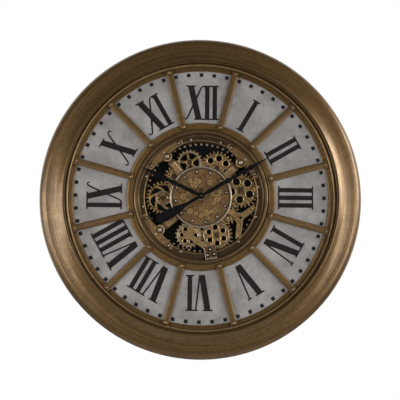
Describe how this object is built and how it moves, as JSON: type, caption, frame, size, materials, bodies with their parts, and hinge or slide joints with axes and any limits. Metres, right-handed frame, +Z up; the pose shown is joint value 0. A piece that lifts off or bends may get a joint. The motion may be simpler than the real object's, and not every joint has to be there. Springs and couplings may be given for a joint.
{
  "type": "wall clock",
  "caption": "Round wall clock with a moulded metal ring, a pale dial with Roman numerals and brass spokes, and a round window where meshed gears turn behind black hands.",
  "frame": {"origin": "on the wall plane, on the dial's axis", "axes": "+Y into the wall along the dial's axis, so the dial faces -Y; +Z up towards XII; +X towards III"},
  "size_m": [0.8, 0.0747, 0.8],
  "materials": {
    "bronze": "antique bronze paint, brushed, satin",
    "brass": "aged brass, satin",
    "pale_wire": "pale nickel, satin",
    "dial": "mottled pale grey paint on board, matt",
    "olive": "dark olive bronze paint, satin",
    "black_plate": "black paint, matt",
    "hand_black": "black painted sheet, satin",
    "plastic": "moulded, fine grain",
    "steel": "zinc plated",
    "cell": "plain printed jacket"
  },
  "bodies": {
    "clock": {"outer_frame": "bronze", "dial_plate": "dial", "outer_band": "brass", "inner_band": "brass", "window_bezel": "olive", "module_plate": "black_plate", "ring_gear": "brass", "segment_plate_top_left": "olive", "segment_plate_top_right": "olive", "segment_plate_bottom_left": "olive", "strap_top_left": "brass", "strap_top_right": "brass", "strap_bottom_left": "brass", "y_bridge": "brass", "lower_bridge": "brass", "bottom_bracket": "brass", "centre_disc": "brass", "disc_rim": "pale_wire", "motor_case": "plastic", "motor_battery_lower": "cell", "motor_battery_upper": "cell", "movement_case": "plastic", "movement_battery": "cell", "bush_nut": "pale_wire", "hanger": "steel", "spoke_01": "brass", "spoke_02": "brass", "spoke_03": "brass", "spoke_04": "brass", "spoke_05": "brass", "spoke_06": "brass", "spoke_07": "brass", "spoke_08": "brass", "spoke_09": "brass", "spoke_10": "brass", "spoke_11": "brass", "spoke_12": "brass", "post_left": "steel", "post_top_left": "steel", "post_top_right": "steel", "post_right": "steel", "post_right_idler": "steel", "post_bottom_right": "steel", "post_bottom_left": "steel"},
    "minute": {"minute_hand": "hand_black", "minute_spindle": "pale_wire", "hand_nut": "pale_wire"},
    "hour": {"hour_hand": "hand_black", "hour_pipe": "pale_wire"},
    "knob": {"setting_knob": "plastic"},
    "switch": {"switch_slider": "steel"},
    "gear_left_body": {"gear_left": "brass"},
    "gear_drive_body": {"drive_gear": "brass", "motor_shaft": "steel"},
    "gear_top_left_body": {"gear_top_left": "brass"},
    "gear_top_right_body": {"gear_top_right": "brass"},
    "gear_right_body": {"gear_right": "brass"},
    "gear_right_idler_body": {"gear_right_idler": "brass"},
    "gear_bottom_right_body": {"gear_bottom_right": "brass"},
    "gear_bottom_left_body": {"gear_bottom_left": "brass"}
  },
  "joints": [
    {"name": "gear_left_turn", "type": "hinge", "parent": "clock", "child": "gear_left_body", "pos_m": [-0.09456, -0.028, -0.00308], "axis": [0, 1, 0], "continuous": true},
    {"name": "gear_drive_turn", "type": "hinge", "parent": "clock", "child": "gear_drive_body", "pos_m": [-0.06833, -0.028, 0.05266], "axis": [0, 1, 0], "continuous": true},
    {"name": "gear_top_left_turn", "type": "hinge", "parent": "clock", "child": "gear_top_left_body", "pos_m": [-0.02936, -0.028, 0.08762], "axis": [0, 1, 0], "continuous": true},
    {"name": "gear_top_right_turn", "type": "hinge", "parent": "clock", "child": "gear_top_right_body", "pos_m": [0.04021, -0.028, 0.07423], "axis": [0, 1, 0], "continuous": true},
    {"name": "gear_right_turn", "type": "hinge", "parent": "clock", "child": "gear_right_body", "pos_m": [0.10057, -0.028, 0.0193], "axis": [0, 1, 0], "continuous": true},
    {"name": "gear_right_idler_turn", "type": "hinge", "parent": "clock", "child": "gear_right_idler_body", "pos_m": [0.06969, -0.028, -0.03928], "axis": [0, 1, 0], "continuous": true},
    {"name": "gear_bottom_right_turn", "type": "hinge", "parent": "clock", "child": "gear_bottom_right_body", "pos_m": [0.03956, -0.028, -0.09477], "axis": [0, 1, 0], "continuous": true},
    {"name": "gear_bottom_left_turn", "type": "hinge", "parent": "clock", "child": "gear_bottom_left_body", "pos_m": [-0.02973, -0.028, -0.09561], "axis": [0, 1, 0], "continuous": true},
    {"name": "minute_turn", "type": "hinge", "parent": "clock", "child": "minute", "pos_m": [0, -0.063, 0], "axis": [0, 1, 0], "continuous": true},
    {"name": "hour_turn", "type": "hinge", "parent": "clock", "child": "hour", "pos_m": [0, -0.061, 0], "axis": [0, 1, 0], "continuous": true},
    {"name": "knob_turn", "type": "hinge", "parent": "clock", "child": "knob", "pos_m": [0.012, -0.0165, 0.011], "axis": [0, 1, 0], "continuous": true},
    {"name": "switch_slide", "type": "slide", "parent": "clock", "child": "switch", "axis": [1, 0, 0], "range_m": [0, 0.004]}
  ],
  "couplings": [
    {"joint": "gear_left_turn", "follows": "gear_right_turn", "ratio": 1.0385},
    {"joint": "gear_drive_turn", "follows": "gear_right_turn", "ratio": -1.9286},
    {"joint": "gear_top_left_turn", "follows": "gear_right_turn", "ratio": 1.35},
    {"joint": "gear_top_right_turn", "follows": "gear_right_turn", "ratio": -1.0385},
    {"joint": "gear_right_idler_turn", "follows": "gear_right_turn", "ratio": -1.6875},
    {"joint": "gear_bottom_right_turn", "follows": "gear_right_turn", "ratio": 1.08},
    {"joint": "gear_bottom_left_turn", "follows": "gear_right_turn", "ratio": -1.35},
    {"joint": "hour_turn", "follows": "minute_turn", "ratio": 0.083333},
    {"joint": "knob_turn", "follows": "minute_turn", "ratio": -0.33333}
  ]
}
